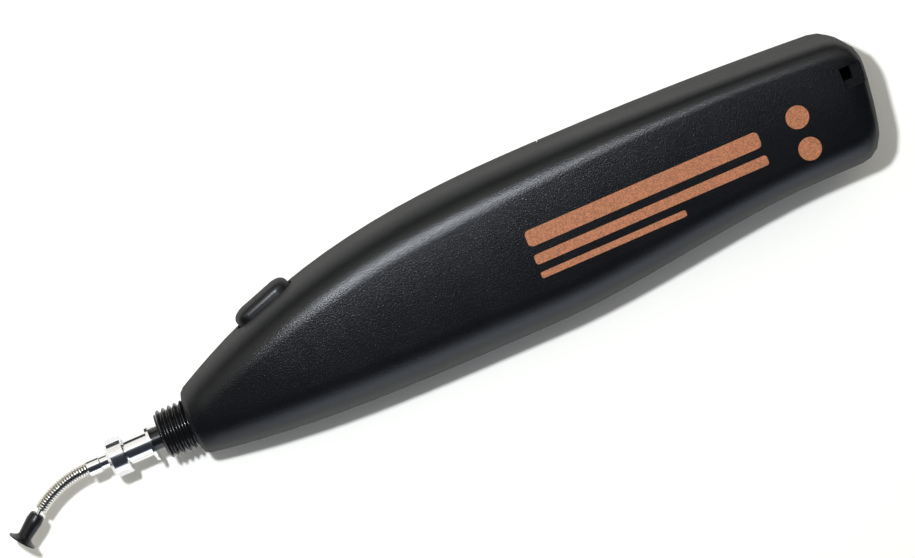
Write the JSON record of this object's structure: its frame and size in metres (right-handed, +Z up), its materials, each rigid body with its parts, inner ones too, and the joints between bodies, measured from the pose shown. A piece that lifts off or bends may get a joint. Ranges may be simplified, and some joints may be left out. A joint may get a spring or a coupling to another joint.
{
  "type": "vacuum pick up pen",
  "caption": "Battery vacuum pen with a moulded clamshell grip, a push button, an inner diaphragm pump and a bent coil-sleeved pipe ending in a rubber suction pad.",
  "frame": {"origin": "on the flat side that the pen lies on, under the middle of the grip", "axes": "+X runs from the nozzle to the rear end, +Y to the button side, +Z up from the flat side"},
  "size_m": [0.2052, 0.0367, 0.024],
  "materials": {
    "shell_plastic": "fine moulded grain, satin black",
    "gloss_plastic": "smooth black",
    "chrome": "bright plated",
    "steel": "bright drawn",
    "rubber": "soft matte black",
    "white_plastic": "natural white",
    "grey_plastic": "moulded grey",
    "board": "green board",
    "filter_felt": "pressed white fibre",
    "clear_hose": "milky silicone",
    "motor_can": "zinc plated can",
    "cell_wrap": "plain orange wrap",
    "red_lead": "red insulation",
    "grey_lead": "black insulation"
  },
  "bodies": {
    "pen_body": {"upper_shell": "shell_plastic", "lower_shell": "shell_plastic", "housing_screws": "steel", "push_switch": "grey_plastic", "switch_board": "board", "thread_collar": "gloss_plastic", "spigot": "gloss_plastic", "o_ring": "rubber", "filter": "filter_felt", "nozzle_holder": "chrome", "suction_hose": "clear_hose", "pump_head": "grey_plastic", "valve_plate": "grey_plastic", "diaphragm": "rubber", "connecting_rod": "white_plastic", "pump_body": "grey_plastic", "motor": "motor_can", "cell_front": "cell_wrap", "cell_rear": "cell_wrap", "negative_contact": "steel", "negative_spring": "steel", "positive_contact": "steel", "bridge_contact": "steel", "bridge_spring": "steel", "battery_lead": "red_lead", "motor_lead": "red_lead", "return_lead": "grey_lead"},
    "cover": {"battery_cover": "shell_plastic"},
    "button": {"button_cap": "gloss_plastic", "switch_plunger": "white_plastic"},
    "nut": {"collar_nut": "chrome"},
    "nozzle": {"ferrule": "chrome", "pipe": "chrome", "coil_sleeve": "steel", "suction_pad": "rubber"},
    "rotor": {"motor_shaft": "steel"}
  },
  "joints": [
    {"name": "button_press", "type": "slide", "parent": "pen_body", "child": "button", "axis": [0.3117, -0.9502, 0], "range_m": [0, 0.0012], "stiffness_N_per_m": 800, "springref_m": -0.0005},
    {"name": "cover_slide", "type": "slide", "parent": "pen_body", "child": "cover", "axis": [1, 0, 0], "range_m": [0, 0.055]},
    {"name": "nut_turn", "type": "hinge", "parent": "pen_body", "child": "nut", "pos_m": [-0.097, -0.007, 0.012], "axis": [1, 0, 0], "continuous": true},
    {"name": "nozzle_turn", "type": "hinge", "parent": "pen_body", "child": "nozzle", "pos_m": [-0.101, -0.007, 0.012], "axis": [1, 0, 0], "continuous": true},
    {"name": "motor_spin", "type": "hinge", "parent": "pen_body", "child": "rotor", "pos_m": [-0.03075, 0.0052, 0.012], "axis": [1, 0, 0], "continuous": true}
  ]
}
